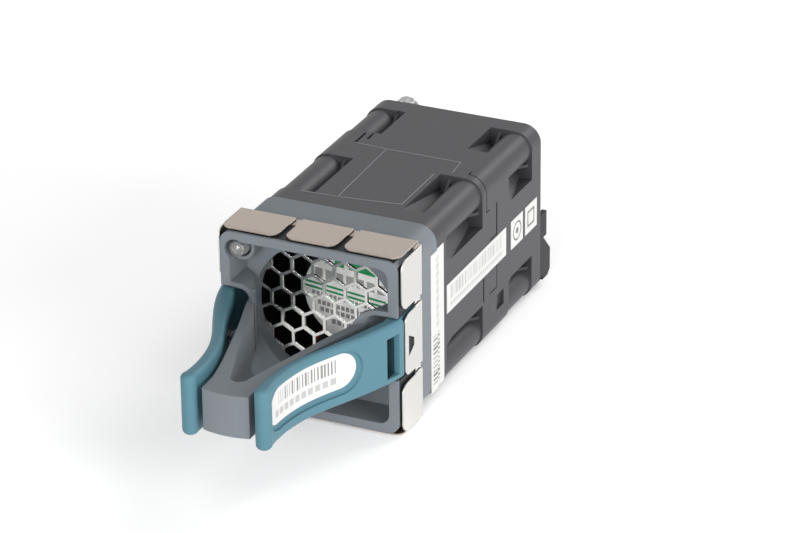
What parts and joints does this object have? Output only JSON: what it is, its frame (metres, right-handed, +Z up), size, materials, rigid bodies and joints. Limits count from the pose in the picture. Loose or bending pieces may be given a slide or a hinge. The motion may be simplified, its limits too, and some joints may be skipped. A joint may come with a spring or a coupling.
{
  "type": "server fan module",
  "caption": "Hot-swap server fan module: a counter-rotating axial fan pair behind a square bezel with honeycomb grille, spring contact gaskets, pull handle and two squeeze latch levers",
  "frame": {"origin": "bottom centre of the whole module: midway across its width and length, on the plane it rests on", "axes": "X across the module, Y from the pull handle towards the rear connector, Z up"},
  "size_m": [0.042, 0.1198, 0.0408],
  "materials": {
    "bezel_plastic": "moulded grey-blue plastic",
    "lever_teal": "moulded teal plastic",
    "gasket_metal": "nickel-plated spring sheet",
    "bright_steel": "bright plated steel",
    "spring_steel": "drawn spring wire",
    "clear_plastic": "clear light-guide plastic",
    "fan_black": "glass-filled black plastic",
    "ferrite": "bonded ferrite",
    "core_steel": "varnished laminations",
    "copper_wire": "enamelled copper windings",
    "board_green": "solder-masked board",
    "bracket_black": "smooth black plastic",
    "contact_brass": "gold-flashed contacts",
    "lead_red": "red insulation",
    "lead_black": "black insulation",
    "lead_yellow": "yellow insulation",
    "label_silver": "silver film sticker",
    "label_white": "white film sticker"
  },
  "bodies": {
    "module": {"bezel": "bezel_plastic", "honeycomb_grille": "bright_steel", "gasket_top": "gasket_metal", "gasket_bottom": "gasket_metal", "gasket_left": "gasket_metal", "gasket_right": "gasket_metal", "latch_pin_left": "bright_steel", "latch_pin_right": "bright_steel", "latch_spring_left": "spring_steel", "latch_spring_right": "spring_steel", "light_pipe": "clear_plastic", "outlet_frame": "fan_black", "inlet_frame": "fan_black", "outlet_bearings": "bright_steel", "outlet_stator_core": "core_steel", "outlet_coils": "copper_wire", "outlet_circuit_board": "board_green", "inlet_bearings": "bright_steel", "inlet_stator_core": "core_steel", "inlet_coils": "copper_wire", "inlet_circuit_board": "board_green", "fan_screws": "bright_steel", "connector_bracket": "bracket_black", "connector_housing": "bracket_black", "connector_contacts": "contact_brass", "red_lead": "lead_red", "black_lead": "lead_black", "inlet_lead": "lead_yellow", "hub_label": "label_silver", "seam_label": "label_white", "frame_label": "label_white", "small_labels": "label_white"},
    "outlet_rotor": {"outlet_impeller": "fan_black", "outlet_rotor_cup": "bright_steel", "outlet_magnet_ring": "ferrite", "outlet_shaft": "bright_steel", "outlet_shaft_clip": "spring_steel"},
    "inlet_rotor": {"inlet_impeller": "fan_black", "inlet_rotor_cup": "bright_steel", "inlet_magnet_ring": "ferrite", "inlet_shaft": "bright_steel", "inlet_shaft_clip": "spring_steel"},
    "latch_left": {"latch_lever_left": "lever_teal"},
    "latch_right": {"latch_lever_right": "lever_teal", "lever_label": "label_white"}
  },
  "joints": [
    {"name": "outlet_rotor_spin", "type": "hinge", "parent": "module", "child": "outlet_rotor", "pos_m": [0, 0.0123, 0.02], "axis": [0, 1, 0], "continuous": true},
    {"name": "inlet_rotor_spin", "type": "hinge", "parent": "module", "child": "inlet_rotor", "pos_m": [0, 0.0403, 0.02], "axis": [0, 1, 0], "continuous": true},
    {"name": "latch_right_hinge", "type": "hinge", "parent": "module", "child": "latch_right", "pos_m": [0.0188, -0.0118, 0.0204], "axis": [0, 0, 1], "range_deg": [-1.4, 0], "stiffness_Nm_per_rad": 0.12, "springref_deg": 5.73, "deforming": ["latch_spring_right"]},
    {"name": "latch_left_hinge", "type": "hinge", "parent": "module", "child": "latch_left", "pos_m": [-0.0188, -0.0118, 0.0204], "axis": [0, 0, 1], "range_deg": [0, 1.4], "stiffness_Nm_per_rad": 0.12, "springref_deg": -5.73, "deforming": ["latch_spring_left"]}
  ]
}
